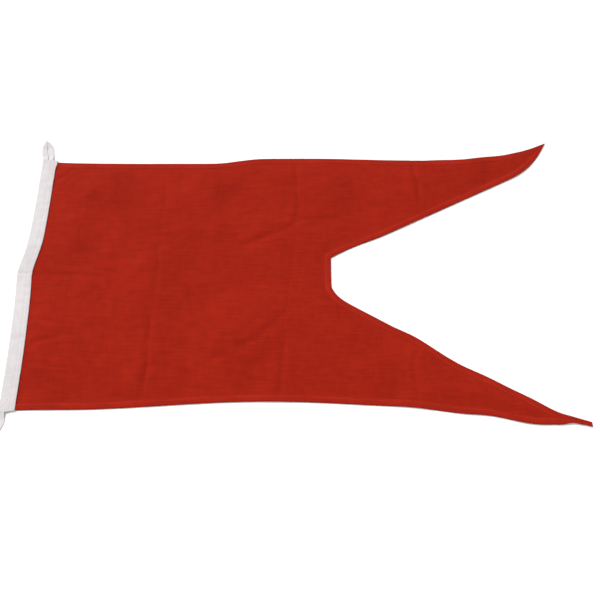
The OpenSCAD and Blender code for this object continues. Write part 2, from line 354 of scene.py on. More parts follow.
def creases(x, y):
    """Height of the pressed creases over the cloth: none is quite straight, or as deep all along."""
    total = np.zeros_like(x)
    sway = 2.0 * np.sin(y / (24 * MM) + x / (41 * MM)) + 0.9 * np.sin(y / (9.5 * MM) - x / (50 * MM))
    x = x + sway * MM
    sway = 1.8 * np.sin(x / (19 * MM) - y / (60 * MM)) + 0.8 * np.sin(x / (8.5 * MM) + y / (40 * MM))
    y = y + sway * MM
    for start, end, height, width, side in CREASES:
        a, b = np.array(start) * MM, np.array(end) * MM
        length = np.linalg.norm(b - a)
        d = (b - a) / length
        t = ((x - a[0]) * d[0] + (y - a[1]) * d[1]) / length
        off = (x - a[0]) * d[1] - (y - a[1]) * d[0]
        soft = max(2.0, 0.4 * (width - 10)) * MM
        off = np.sqrt(off ** 2 + soft ** 2) - soft
        fade = smooth((t + 0.02) / 0.25) * smooth((1.02 - t) / 0.25)
        fade *= 0.82 + 0.25 * np.sin(t * length / (14 * MM) + height * 3)
        slope = np.exp(-off / (width * MM))
        if side < 0:
            slope = 2.4 * (1 - slope) * slope
        total += height * MM * fade * slope
    return total


def simulated():
    """Lets the whole cloth settle on the floor, with a little slack from its sewn-in hems.

    Returns its flat points, its triangles, and the way each point has gone.
    """
    seam_y = np.arange(WHOLE_EDGE[-1][1] - SETTLE_STEP, WHOLE_EDGE[0][1] + SETTLE_STEP / 2, -SETTLE_STEP)
    seam = np.stack([head_x(seam_y) + HALF_TAPE, seam_y], 1)
    points, triangles = filled(np.vstack([WHOLE_EDGE, seam]), SETTLE_STEP)
    mesh = bpy.data.meshes.new("settling")
    start_z = 5 * MM + creases(*points.T) + 1.5 * MM * soft_noise(*points.T, 60 * MM, 3.1)
    mesh.from_pydata(np.column_stack([points, start_z]).tolist(), [], triangles.tolist())
    cloth_obj = bpy.data.objects.new("settling", mesh)
    bpy.context.scene.collection.objects.link(cloth_obj)
    held = cloth_obj.vertex_groups.new(name="held")
    at_seam = points[:, 0] < head_x(points[:, 1]) + HALF_TAPE + 3 * MM
    held.add([int(i) for i in np.flatnonzero(at_seam)], 1, "REPLACE")

    ground = bpy.data.meshes.new("ground")
    ground.from_pydata([(-1, -1, 0), (2, -1, 0), (2, 1, 0), (-1, 1, 0)], [], [(0, 1, 2, 3)])
    ground_obj = bpy.data.objects.new("ground", ground)
    bpy.context.scene.collection.objects.link(ground_obj)
    ground_obj.modifiers.new("Collision", "COLLISION")
    ground_obj.collision.thickness_outer = 1 * MM
    ground_obj.collision.cloth_friction = 8

    cloth = cloth_obj.modifiers.new("Cloth", "CLOTH")
    s = cloth.settings
    s.quality = 8
    s.mass = 0.15
    s.tension_stiffness = s.compression_stiffness = 25
    s.shear_stiffness = 8
    s.bending_stiffness = 0.4
    s.air_damping = 2
    s.shrink_min = s.shrink_max = -0.004
    s.vertex_group_mass = "held"
    cloth.collision_settings.distance_min = 1 * MM
    cloth.collision_settings.use_self_collision = False
    cloth.point_cache.frame_start, cloth.point_cache.frame_end = 1, SETTLE_FRAMES
    scene = bpy.context.scene
    for number in range(1, SETTLE_FRAMES + 1):
        scene.frame_set(number)
    settled = cloth_obj.evaluated_get(bpy.context.evaluated_depsgraph_get()).to_mesh()
    co = np.empty(len(settled.vertices) * 3)
    settled.vertices.foreach_get("co", co)
    co = co.reshape(-1, 3)
    scene.frame_set(1)
    for obj in (cloth_obj, ground_obj):
        bpy.data.objects.remove(obj, do_unlink=True)
    co[:, 2] -= np.percentile(co[:, 2], 2)
    moved = co - np.column_stack([points, np.zeros(len(points))])
    # The slack has let the cloth grow: only what it moves by beyond that even growth is kept.
    even = np.column_stack([points, np.ones(len(points))])
    moved[:, :2] -= even @ np.linalg.lstsq(even, moved[:, :2], rcond=None)[0]
    return points, triangles, moved


def inside(points, outline):
    """Whether each point is in the outline, and its distance from it."""
    a, b = outline, np.roll(outline, -1, axis=0)
    d = b - a
    hit = np.zeros(len(points), bool)
    far = np.empty(len(points))
    batch = 2000                    # points at a time, to spare memory
    for i in range(0, len(points), batch):
        p = points[i : i + batch, None, :]
        crosses = (a[:, 1] > p[..., 1]) != (b[:, 1] > p[..., 1])
        rise = np.where(d[:, 1] == 0, 1e-12, d[:, 1])
        left = p[..., 0] < a[:, 0] + (p[..., 1] - a[:, 1]) / rise * d[:, 0]
        hit[i : i + batch] = (crosses & left).sum(1) % 2
        t = np.clip(((p - a) * d).sum(2) / np.maximum((d * d).sum(1), 1e-18), 0, 1)
        far[i : i + batch] = np.linalg.norm(p - a - t[..., None] * d, axis=2).min(1)
    return hit, far


def filled(outline, step, fold=None):
    """A mesh of even triangles inside an outline, with closer columns where it turns at a fold."""
    low, high = outline.min(0), outline.max(0)
    row_step = step * ROW_SHARE
    rows = np.arange(math.floor(low[1] / row_step), high[1] / row_step)
    columns = np.arange(math.floor(low[0] / step) - 1, high[0] / step + 1)
    x, row = np.meshgrid(columns * step, rows)
    points = np.stack([(x + (row % 2) * step / 2).ravel(), (row * row_step).ravel()], 1)
    space = np.full(len(points), 0.55 * step)
    if fold is not None:
        columns = fold + BEND_STEP * np.arange(1, round(BEND_L / BEND_STEP) + 2)
        points = points[(points[:, 0] < fold) | (points[:, 0] > columns[-1] + BEND_STEP)]
        bend = np.stack(np.meshgrid(columns, rows * row_step), 2).reshape(-1, 2)
        space = np.repeat([0.55 * step, 0.6 * BEND_STEP], [len(points), len(bend)])
        points = np.vstack([points, bend])
    hit, far = inside(points, outline)
    points = points[hit & (far > space)]
    result = delaunay_2d_cdt(
        [Vector(p) for p in np.vstack([outline, points])], [], [list(range(len(outline)))], 1, 1e-7
    )
    verts = np.array([tuple(v) for v in result[0]])
    faces = np.array(result[2])
    a, b, c = verts[faces[:, 0]], verts[faces[:, 1]], verts[faces[:, 2]]
    turned = (b[:, 0] - a[:, 0]) * (c[:, 1] - a[:, 1]) - (b[:, 1] - a[:, 1]) * (c[:, 0] - a[:, 0]) < 0
    faces[turned] = faces[turned][:, ::-1]
    return verts, faces


# The settled cloth's movement, kept on a grid of control points.
CELL = 7 * MM
CELL_X, CELL_Y = -40 * MM, -300 * MM
CELLS = (140, 86)


def settled_grid():
    """How far the cloth moves, x, y and z, at each control point."""
    x, y = np.meshgrid(
        CELL_X + CELL * np.arange(CELLS[0]), CELL_Y + CELL * np.arange(CELLS[1]), indexing="ij"
    )
    wave = (soft_noise(x - y, (x + y) / 2, 70 * MM, 7.7) + 0.5 * soft_noise(x, y, 28 * MM, 2.2)) * 0.5 + 0.5
    far = inside(np.stack([x.ravel(), y.ravel()], 1), WHOLE_EDGE)[1].reshape(x.shape)
    pressed = 0.3 + 0.7 * smooth(far / PRESSED_W)
    grid = np.stack([0 * x, 0 * x, QUICK_WAVE_H * wave * pressed], 2)
    points, triangles, moved = simulated()
    tree = BVHTree.FromPolygons([(*p, 0) for p in points], triangles.tolist())
    for i in range(CELLS[0]):
        for j in range(CELLS[1]):
            spot, _, face, _ = tree.find_nearest((x[i, j], y[i, j], 0))
            a, b, c = points[triangles[face]]
            w = np.linalg.solve(
                np.array([[a[0], b[0], c[0]], [a[1], b[1], c[1]], [1, 1, 1]]), [spot.x, spot.y, 1]
            )
            grid[i, j] = w @ moved[triangles[face]]
    grid[..., :2] = np.clip(grid[..., :2], -SETTLE_SIDEWAYS, SETTLE_SIDEWAYS)
    lift = np.maximum(0, grid[..., 2])
    grid[..., 2] = pressed * (lift / (1 + lift / SETTLE_RISE) + WAVE_H * wave)
    return grid


def on_grid(x, y):
    """The settled movement at each point: a smooth uniform spline over the grid."""
    u = np.clip((x - CELL_X) / CELL, 1, CELLS[0] - 2.001)
    v = np.clip((y - CELL_Y) / CELL, 1, CELLS[1] - 2.001)
    i, j = u.astype(int), v.astype(int)
    weights = []
    for t in (u - i, v - j):
        weights.append([(1 - t) ** 3 / 6, (3 * t ** 3 - 6 * t * t + 4) / 6,
                        (-3 * t ** 3 + 3 * t * t + 3 * t + 1) / 6, t ** 3 / 6])
    total = np.zeros((len(x), 3))
    for di in range(4):
        for dj in range(4):
            total += (weights[0][di] * weights[1][dj])[:, None] * SETTLED[i + di - 1, j + dj - 1]
    return total


def middle_surface(x, y):
    """Where each flat point of the cloth lies."""
    moved = on_grid(x, y)
    from_seam = x - head_x(y) - HALF_TAPE
    free = smooth(from_seam / SEAM_HOLD)
    z = REST_Z + free * moved[:, 2] + creases(x, y) * smooth((from_seam + 2 * MM) / (12 * MM))
    z += (1 - free) * head_lift(y)
    z += (TUCK_Z - REST_Z) * (1 - smooth(from_seam / (3 * MM)))
    return np.stack([x + free * moved[:, 0], y + free * moved[:, 1], z], 1)


def lay(x, y, h):
    """Lifts flat points, at height h over the cloth's middle, onto the way the cloth lies."""
    x, y, h = (np.asarray(a, float).ravel() for a in np.broadcast_arrays(x, y, h))
    d = 0.4 * MM
    ux = middle_surface(x + d, y) - middle_surface(x - d, y)
    uy = middle_surface(x, y + d) - middle_surface(x, y - d)
    return middle_surface(x, y) + h[:, None] * unit(np.cross(ux, uy))


def lay_heading(u, v, z):
    """Lifts points of the straight heading onto its line: u across, v along, z up from its underside."""
    u, v, z = (np.asarray(a, float).ravel() for a in np.broadcast_arrays(u, v, z))
    y = v * (1 - END_SLANT / HEAD_HALF_L * (u + HALF_TAPE) / (2 * HALF_TAPE))
    return np.stack([head_x(y) + u, y, z + head_lift(y)], 1)


# --- Meshes ----------------------------------------------------------------------------------------

def piece(name, points, faces, material, flat, wear_and_shade=None, sharp=()):
    """A mesh object that keeps its flat coordinates at its points, for the materials, and a weight for their
    edge colour: wear on the cloth, painted shade on the hems, heading and straps.

    The edges of its caps and those in sharp are creased.
    """
    mesh = bpy.data.meshes.new(name)
    mesh.from_pydata(np.asarray(points).tolist(), [], faces)
    mesh.polygons.foreach_set("use_smooth", [True] * len(mesh.polygons))
    mesh.attributes.new("flat", "FLOAT_VECTOR", "POINT").data.foreach_set(
        "vector", np.asarray(flat, np.float32).ravel()
    )
    if wear_and_shade is not None:
        edge_wear_and_shade = mesh.attributes.new("wear_and_shade", "FLOAT", "POINT").data
        edge_wear_and_shade.foreach_set("value", np.asarray(wear_and_shade, np.float32))
    mesh.materials.append(material)
    caps = {key for face in mesh.polygons if len(face.vertices) > 4 for key in face.edge_keys}
    mesh.attributes.new("sharp_edge", "BOOLEAN", "EDGE").data.foreach_set(
        "value", [edge.key in caps or edge.key in sharp for edge in mesh.edges]
    )
    mesh.update()
    obj = bpy.data.objects.new(name, mesh)
    bpy.context.scene.collection.objects.link(obj)
    return obj


def tube_faces(rings, points, start=0):
    """Faces of a closed tube of rings, each with the same number of points, with a cap on each end."""
    faces = []
    for r in range(rings - 1):
        a = start + r * points
        for k in range(points):
            n = (k + 1) % points
            faces.append((a + k, a + n, a + points + n, a + points + k))
    faces.append(tuple(start + k for k in reversed(range(points))))
    faces.append(tuple(start + (rings - 1) * points + k for k in range(points)))
    return faces


def strip_between(start, end, step):
    """Points from start to end, both left out."""
    n = max(1, round(float(np.linalg.norm(end - start)) / step))
    t = (np.arange(1, n) / n)[:, None]
    return start * (1 - t) + end * t


def cloth_piece(name):
    """One pane of cloth: a closed shell whose rim is hidden in the hems.

    Returns it with the size and the area of its flat outline.
    """
    outline = []
    lines = []
    for line in EDGES[name]:
        inset = np.minimum(RIM_INSET, 0.3 * hem_reach(line, name))[:, None]
        lines.append(line + inwards(line) * inset)
    for line, following in zip(lines, lines[1:] + lines[:1]):
        outline.append(line)
        if name == "hoist" and line[-1][0] < 2 * HALF_TAPE:
            top, bottom = line[-1][1] - 1 * MM, following[0][1] + 1 * MM
            y = np.linspace(top, bottom, round((top - bottom) / GRID))
            outline.append(np.stack([head_x(y) + HALF_TAPE - TUCK_W, y], 1))
        else:
            outline.append(strip_between(line[-1], following[0], GRID))
    fold = PANES[name][3]
    points, faces = filled(np.vstack(outline), GRID, None if fold is None else FOLD_X[fold])
    n = len(points)
    edges = {(int(a), int(b)) for f in faces for a, b in zip(f, np.roll(f, -1))}
    rim = [(a, b) for a, b in edges if (b, a) not in edges]
    walls = [(b, a, a + n, b + n) for a, b in sorted(rim)]
    all_faces = faces.tolist() + (faces[:, ::-1] + n).tolist() + walls
    h = np.repeat([PLY_T / 2, -PLY_T / 2], n)
    x, y = np.tile(points, (2, 1)).T
    area = 0.5 * abs(sum(np.cross(points[f[1]] - points[f[0]], points[f[2]] - points[f[0]]) for f in faces))
    size = points.max(0) - points.min(0)
    far = np.full(n, 1.0)
    for line in lines:
        far = np.minimum(far, inside(points, np.vstack([line, line[::-1]]))[1])
    # On the cloth the edge colour is wear, in a band just inside the hems.
    wear_and_shade = np.tile(np.exp(-np.maximum(0, far - HEM_W) / (5 * MM)), 2)
    sharp = {(min(a, b) + k, max(a, b) + k) for a, b in rim for k in (0, n)}
    obj = piece(
        name + "_cloth", lay(x, y, h), all_faces, red_cloth, np.stack([x, y, h], 1), wear_and_shade, sharp
    )
    return obj, size, float(area)


# Section of a hem, in mm: distance from the edge, where the hem has its full width, and height over the
# cloth's middle.
HEM_SECTION = [
    (1.3, -0.05), (0.6, -0.26), (0.2, -0.18), (0, 0.1), (0.12, 0.45), (0.5, 0.75), (1.2, 0.9), (2.4, 0.95),
    (4.2, 0.84), (6.2, 0.88), (7.4, 0.8), (8.0, 0.62), (8.6, 0.68), (9.6, 0.52), (10.5, 0.35), (11.0, 0.18),
    (9.4, 0.18), (7.8, 0.17), (6.2, 0.15), (4.6, 0.12), (3.0, 0.06),
]


def hem_piece(name):
    """The hems of a pane: cloth turned over twice along each free edge, ruffled a little by its stitches."""
    points, faces, flat, wear_and_shade = [], [], [], []
    k = len(HEM_SECTION)
    for line in EDGES[name]:
        left, reach, s = inwards(line), hem_reach(line, name), along(line)
        base = sum(map(len, points))
        for p, n, r, t in zip(line, left, reach, s):
            full = r / HEM_W
            ruffle = 0.12 * noise.noise(Vector((p[0] / (5 * MM), p[1] / (5 * MM), 0.3)))
            edge = 0.35 * MM * noise.noise(Vector((p[0] / (18 * MM), p[1] / (18 * MM), 4.3)))
            ring = []
            for d, h in HEM_SECTION:
                inner = edge * smooth(np.array((d - 6) / 4)) * full
                ring.append((*(p + n * (d * MM * full + inner)), (h + (ruffle if 0.3 < h else 0)) * MM))
                flat.append((t, d * MM, h * MM))
                # Painted shade: the hem's colour darkens towards its rolled outer edge.
                wear_and_shade.append(math.exp(-(d / 1.6) ** 2))
            points.append(ring)
        faces += tube_faces(len(line), k, base)
    ring_points = np.array([q for ring in points for q in ring])
    return piece(name + "_turned_hems", lay(*ring_points.T), faces, red_cloth_hem_painted_light, flat, wear_and_shade)


# A stitch: rings along it, each with its place, its thickness and how far it has sunk into the cloth.
STITCH_RINGS = [(-0.5, 0.5, 1.0), (-0.3, 1.0, 0.25), (0.0, 1.1, 0.0), (0.3, 1.0, 0.25), (0.5, 0.5, 1.0)]
STITCH_SIDES = 6


def at_distance(line, s, at):
    """Points of a line at distances from its start, where s holds the distances of its own points."""
    return np.stack([np.interp(at, s, line[:, 0]), np.interp(at, s, line[:, 1])], 1)


def stitches(line, pitch, length, radius, height):
    """Stitches along a flat line. Returns their points, faces and flat coordinates."""
    s = along(line)
    count = int(s[-1] // pitch)
    centre = (np.arange(count) + 0.5) * (s[-1] / max(1, count))
    points, flat = [], []
    turn = np.arange(STITCH_SIDES) * 2 * math.pi / STITCH_SIDES
    for place, thick, sunk in STITCH_RINGS:
        at = np.clip(centre + place * length, 0, s[-1])
        c = at_distance(line, s, at)
        ahead = at_distance(line, s, np.minimum(at + 0.5 * MM, s[-1]))
        back = at_distance(line, s, np.maximum(at - 0.5 * MM, 0))
        d = unit(ahead - back)
        side = np.stack([-d[:, 1], d[:, 0]], 1)
        r = radius * thick
        xy = c[:, None] + side[:, None] * (r * np.cos(turn))[None, :, None]
        h = height - math.copysign(sunk * radius, height) + r * np.sin(turn)
        points.append(np.concatenate([xy, np.broadcast_to(h[None, :, None], (*xy.shape[:2], 1))], 2))
        flat.append(np.stack(np.broadcast_arrays(at[:, None], (turn * radius)[None], 0), 2))
    points, flat = np.stack(points, 1), np.stack(flat, 1)
    rings = len(STITCH_RINGS)
    faces = []
    for i in range(count):
        faces += tube_faces(rings, STITCH_SIDES, i * rings * STITCH_SIDES)
    return points.reshape(-1, 3), faces, flat.reshape(-1, 3)


def joined(parts):
    """One set of points, faces and flat coordinates from several."""
    points, faces, flat = [], [], []
    count = 0
    for p, f, q in parts:
        faces += [tuple(i + count for i in face) for face in f]
        points.append(p)
        flat.append(q)
        count += len(p)
    return np.vstack(points), faces, np.vstack(flat)


def hem_thread_piece(name):
    """The row of stitches along each hem, seen from both sides."""
    parts = []
    for line in EDGES[name]:
        reach = hem_reach(line, name)
        wide = reach > 0.98 * HEM_W
        if wide.sum() < 3:
            continue
        row = line + inwards(line) * HEM_ROW
        runs = np.split(np.arange(len(line)), np.flatnonzero(np.diff(wide.astype(int))) + 1)
        for run in runs:
            if not wide[run[0]] or len(run) < 3:
                continue
            for height, radius in ((0.7 * MM, 0.24 * MM), (-0.24 * MM, 0.16 * MM)):
                parts.append(stitches(row[run], *HEM_STITCH, radius, height))
    points, faces, flat = joined(parts)
    return piece(name + "_stitches", lay(*points.T), faces, red_thread, flat)


def head_top(v):
    """Height of the heading's top over its underside: thicker at its ends, where it holds the straps."""
    ends = smooth((np.abs(v) - (HEAD_HALF_L - ANCHOR_L - 8 * MM)) / (14 * MM))
    pucker = 0.10 * np.sin(v / (2.1 * MM)) * np.sin(v / (23 * MM))
    return (2.45 + 0.5 * ends + pucker) * MM


CORNER_FLARE = 0.19                 # the tape spreads a little at the upper end of the seam

# Section of the folded heading, in mm: place across it, and height from its underside (0) or its top (1).
HEAD_SECTION = [
    (12.2, 0.02, 0), (6, 0.0, 0), (0, 0.0, 0), (-6, 0.0, 0), (-11.2, 0.05, 0), (-12.1, 0.4, 0),
    (-12.5, -1.2, 1), (-12.2, -0.5, 1), (-11.4, -0.12, 1), (-10, 0.0, 1), (-7, 0.05, 1), (-4, 0.0, 1),
    (-1, 0.05, 1), (2, 0.02, 1), (3.5, -0.08, 1), (4.2, -0.3, 1), (4.9, -0.08, 1), (6.5, 0.02, 1),
    (8.5, -0.08, 1), (9.2, -0.3, 1), (9.9, -0.1, 1), (11.4, -0.02, 1), (12.1, -0.1, 1), (12.45, -0.38, 1),
    (12.5, -0.85, 1), (12.3, -1.22, 1), (11.4, -1.3, 1), (7.2, -1.3, 1), (7.05, -1.0, 1), (7.2, -0.72, 1),
    (11.7, -0.7, 1), (4.2, -0.62, 1), (-10.8, -0.58, 1), (-11.6, -1.0, 1), (-11.4, 0.65, 0), (-10.8, 0.55, 0),
    (4.2, 0.55, 0), (12.2, 0.52, 0), (12.45, 0.3, 0),
]


def heading_piece():
    """The heading's tape, folded over the cloth, with its edges turned in along the seam."""
    # Its rings lie closer where it is bowed and creased, at its middle.
    v = np.concatenate([
        np.arange(-HEAD_HALF_L, -12 * MM, 3 * MM), np.arange(-12 * MM, 16 * MM, 1.4 * MM),
        np.arange(16 * MM, HEAD_HALF_L - 2 * MM, 3 * MM), [HEAD_HALF_L],
    ])
    top = head_top(v)
    points, flat, wear_and_shade = [], [], []
    s = along(np.array([(u, z) for u, z, side in HEAD_SECTION]))
    for place, t in zip(v, top):
        for (u, z, side), run in zip(HEAD_SECTION, s):
            edge = 0.25 * noise.noise(Vector((u / 8, place / (14 * MM), 9.2)))
            wide = 1 + CORNER_FLARE * smooth((place - HEAD_HALF_L + 20 * MM) / (18 * MM)) if u > 10 else 1
            points.append((u * MM * wide + (edge * MM if abs(u) > 11 else 0), place, z * MM + side * t))
            flat.append((run * MM, place, 0))
            from_end = HEAD_HALF_L - abs(place)
            from_side = HALF_TAPE - abs(u) * MM
            # Painted shade: the tape's colour darkens along its folded sides and towards its ends.
            wear_and_shade.append(math.exp(-from_side / (1.2 * MM)) + 0.5 * math.exp(-from_end / (6 * MM)))
    faces = tube_faces(len(v), len(HEAD_SECTION))
    return piece("heading", lay_heading(*np.array(points).T), faces, white_tape, flat, wear_and_shade)


def heading_thread_piece():
    """Two rows of stitches along the seam, and a box of them over each strap, seen from both sides."""
    boxes = [(STRAP_X["upper"] - 1 * MM, 1), (STRAP_X["lower"] + 2 * MM, -1)]
    lines = [np.array([(u, -HEAD_HALF_L + 2 * MM), (u, HEAD_HALF_L - 2 * MM)]) for u in SEAM_ROWS]
    # Round the box and across it: at each corner, which side of the strap, and which end.
    hands = np.array([-1, -1, 1, 1, -1, 1])
    ends = np.array([TACK_NEAR, TACK_FAR, TACK_FAR, TACK_NEAR, TACK_NEAR, TACK_FAR])
    for u, side in boxes:
        lines.append(np.stack([u + hands * TACK_HALF_W, side * (HEAD_HALF_L - ends)], 1))
    parts = []
    for line in lines:
        for start, end in zip(line, line[1:]):
            run = np.array([start, *strip_between(start, end, 2 * MM), end])
            for top in (True, False):
                radius, height = (0.22 * MM, 0.16 * MM) if top else (0.1 * MM, -0.02 * MM)
                points, faces, flat = stitches(run, *SEAM_STITCH, radius, height)
                on_seam = any(abs(points[:, 0].mean() - u) < 0.5 * MM for u in SEAM_ROWS)
                dip = -0.26 * MM if on_seam else 0.0
                if top:
                    points[:, 2] += head_top(points[:, 1]) + dip
                else:
                    points[:, 2] = np.maximum(points[:, 2], -0.12 * MM)
                parts.append((points, faces, flat))
    points, faces, flat = joined(parts)
    return piece("heading_stitches", lay_heading(*points.T), faces, white_thread, flat)


# --- Loops -----------------------------------------------------------------------------------------

STRAP_X = {}                        # the straps' middles, in the heading
for side in ("upper", "lower"):
    low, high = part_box(side + "_loop_anchor")
    STRAP_X[side] = low.x + (high.x - low.x) / 2
LEAN = {"upper": math.radians(12), "lower": math.radians(18)}
LEG_OFF = {"upper": 4.55 * MM, "lower": 0.2 * MM}       # a leg's middle from the loop's, at its base

# Edges of a leg past its base, in mm: place along the loop, and distance from the loop's middle.
OUTER_EDGE = [(12, 10.7), (23, 10.7), (33, 7.7), (38, 4.2), (42, 1.0)]
INNER_EDGE = [(12, 0.3), (17, 0.65), (24, 0.75), (29, 0.05), (42, 0.0)]

# Section of the strap: place across it and height, both as shares of half its width and half its thickness.
STRAP_SECTION = [
    (-1, 0), (-0.985, 0.62), (-0.93, 0.98), (-0.8, 1.04), (-0.4, 0.96), (0, 1), (0.4, 0.96), (0.8, 1.04),
    (0.93, 0.98), (0.985, 0.62), (1, 0), (0.985, -0.62), (0.93, -0.98), (0.5, -1), (-0.5, -1), (-0.93, -0.98),
    (-0.985, -0.62),
]


def leg_edge(y, base, edge):
    """Distance of a leg's edge from the loop's middle, at places along the loop, with its bends rounded."""
    places, distances = (np.array([(-1, base / MM), (0, base / MM), *edge]) * MM).T
    line = np.interp(y, places, distances)
    for _ in range(8):
        line[1:-1] = (line[:-2] + 2 * line[1:-1] + line[2:]) / 4
    return line


def loop_piece(side):
    """The strap of a loop: two legs out of the heading that part round the eye and meet in a point."""
    fine = -8 * MM                  # where its rings start to lie closer
    y = np.concatenate([np.linspace(-ANCHOR_L, fine, 9)[:-1], np.linspace(fine, LOOP_L - 0.2 * MM, 56)])
    outer = leg_edge(y, LEG_OFF[side] + HALF_STRAP, OUTER_EDGE)
    inner = leg_edge(y, LEG_OFF[side] - HALF_STRAP, INNER_EDGE)
    double = smooth((y - 28.5 * MM) / (1.5 * MM))       # past the eye the strap is two plies
    thick = STRAP_T * (1 + double)
    k = len(STRAP_SECTION)
    points, faces, flat, wear_and_shade = [], [], [], []
    for number, hand in enumerate((-1, 1)):
        # Its middle height: down from inside the heading, with a ripple, then a little up to the tip.
        outside = smooth((y + 1 * MM) / (12 * MM))
        base = 1.78 * MM * (1 - outside) + 0.24 * MM * outside + thick / 2
        if side == "lower":         # its second leg lies on the first
            base += number * STRAP_T * 1.1 * (1 - smooth((y - 1 * MM) / (9 * MM)))
        base += 0.12 * MM * np.sin(y / (6 * MM) + number) * outside
        base += 1.3 * MM * smooth((y - 8 * MM) / (40 * MM))
        middle, half = hand * (outer + inner) / 2, (outer - inner) / 2
        # The strap's colour darkens towards its tip.
        darker_tip = 0.7 * double * np.exp(-(LOOP_L - y) / (5 * MM))
        for i in range(len(y)):
            for a, b in STRAP_SECTION:
                points.append((middle[i] + hand * a * half[i], y[i], base[i] + b * thick[i] / 2))
                flat.append((a * half[i], y[i] + number * 0.2, b * MM))
                # Painted shade: the strap's colour darkens along its sides, outside the heading.
                painted_side_shade = math.exp(-(1 - abs(a)) / 0.12) if y[i] >= 0 else 0
                wear_and_shade.append(painted_side_shade + darker_tip[i])
        part = tube_faces(len(y), k, number * len(y) * k)
        faces += [f[::-1] for f in part] if hand < 0 else part
    points = np.array(points)
    # Lean: the strap turns outwards where it leaves the heading.
    t = np.linspace(-ANCHOR_L - MM, LOOP_L + MM, 800)
    angle = LEAN[side] * smooth((t + 5 * MM) / (8 * MM))
    step = t[1] - t[0]
    path_x, path_y = np.cumsum(-np.sin(angle)) * step, np.cumsum(np.cos(angle)) * step
    path_x -= np.interp(0, t, path_x)
    path_y -= np.interp(0, t, path_y)
    lean = np.interp(points[:, 1], t, angle)
    x = np.interp(points[:, 1], t, path_x) + points[:, 0] * np.cos(lean)
    reach = np.interp(points[:, 1], t, path_y) + points[:, 0] * np.sin(lean)
    end = 1 if side == "upper" else -1
    x += STRAP_X[side]
    y_all = end * (HEAD_HALF_L - LOOP_BACK + reach)
    lift = head_lift(y_all) * (1 - smooth((points[:, 1] + 1 * MM) / (14 * MM)))
    if end < 0:
        faces = [f[::-1] for f in faces]
    laid = np.stack([x, y_all, points[:, 2] + lift], 1)
    return piece(side + "_loop_strap", laid, faces, white_strap, flat, wear_and_shade)


# --- Materials -------------------------------------------------------------------------------------

class Nodes:
    """A material's node tree, with short ways to add to it."""

    def __init__(self, name):
        self.material = bpy.data.materials.new(name)
        self.material.use_nodes = True
        self.tree = self.material.node_tree
        self.tree.nodes.clear()
        output = self.tree.nodes.new("ShaderNodeOutputMaterial")
        self.shader = self.tree.nodes.new("ShaderNodeBsdfPrincipled")
        self.tree.links.new(self.shader.outputs[0], output.inputs[0])
        self.flat = self.attribute("flat").outputs["Vector"]

    def attribute(self, name):
        node = self.tree.nodes.new("ShaderNodeAttribute")
        node.attribute_name = name
        return node

    def put(self, node, **values):
        """Sets or links a node's inputs, by name or, as _0, _1 and so on, by number."""
        for name, value in values.items():
            socket = node.inputs[int(name[1:]) if name[0] == "_" else name.replace("_", " ")]
            if isinstance(value, bpy.types.NodeSocket):
                self.tree.links.new(value, socket)
            else:
                socket.default_value = value

    def math(self, operation, a, b, clamp=False):
        node = self.tree.nodes.new("ShaderNodeMath")
        node.operation, node.use_clamp = operation, clamp
        self.put(node, _0=a, _1=b)
        return node.outputs[0]

    def weighted(self, *terms, clamp=False):
        """The sum of values, each times its share."""
        (first, share), *others = terms
        total = self.math("MULTIPLY", first, share)
        for value, share in others:
            total = self.math("ADD", total, self.math("MULTIPLY", value, share), clamp)
        return total

    def scaled(self, scale):
        node = self.tree.nodes.new("ShaderNodeMapping")
        self.put(node, Vector=self.flat, Scale=scale)
        return node.outputs[0]

    def noise(self, scale, detail, rough=0.55, stretch=(1, 1, 1)):
        node = self.tree.nodes.new("ShaderNodeTexNoise")
        vector = self.scaled(tuple(scale * s for s in stretch))
        self.put(node, Vector=vector, Scale=1.0, Detail=detail, Roughness=rough)
        return node.outputs["Fac"]

    def wave(self, pitch, direction, distortion=0.0):
        """Ridges from 0 to 1, one for each pitch along X, Y or the diagonal."""
        node = self.tree.nodes.new("ShaderNodeTexWave")
        node.wave_type, node.bands_direction = "BANDS", direction
        self.put(node, Vector=self.flat, Scale=math.pi / 10 / pitch, Distortion=distortion, Detail=1.0,
                 Detail_Scale=0.3)
        return node.outputs["Fac"]

    def ramp(self, value, low, high, out_low=0.0, out_high=1.0):
        node = self.tree.nodes.new("ShaderNodeMapRange")
        self.put(node, _0=value, _1=low, _2=high, _3=out_low, _4=out_high)
        return node.outputs[0]

    def mix(self, factor, a, b):
        node = self.tree.nodes.new("ShaderNodeMix")
        node.data_type = "RGBA"
        self.put(node, _0=factor, _6=a, _7=b)
        return node.outputs[2]

    def bump(self, height, distance, strength):
        node = self.tree.nodes.new("ShaderNodeBump")
        self.put(node, Height=height, Distance=distance, Strength=strength)
        return node.outputs[0]


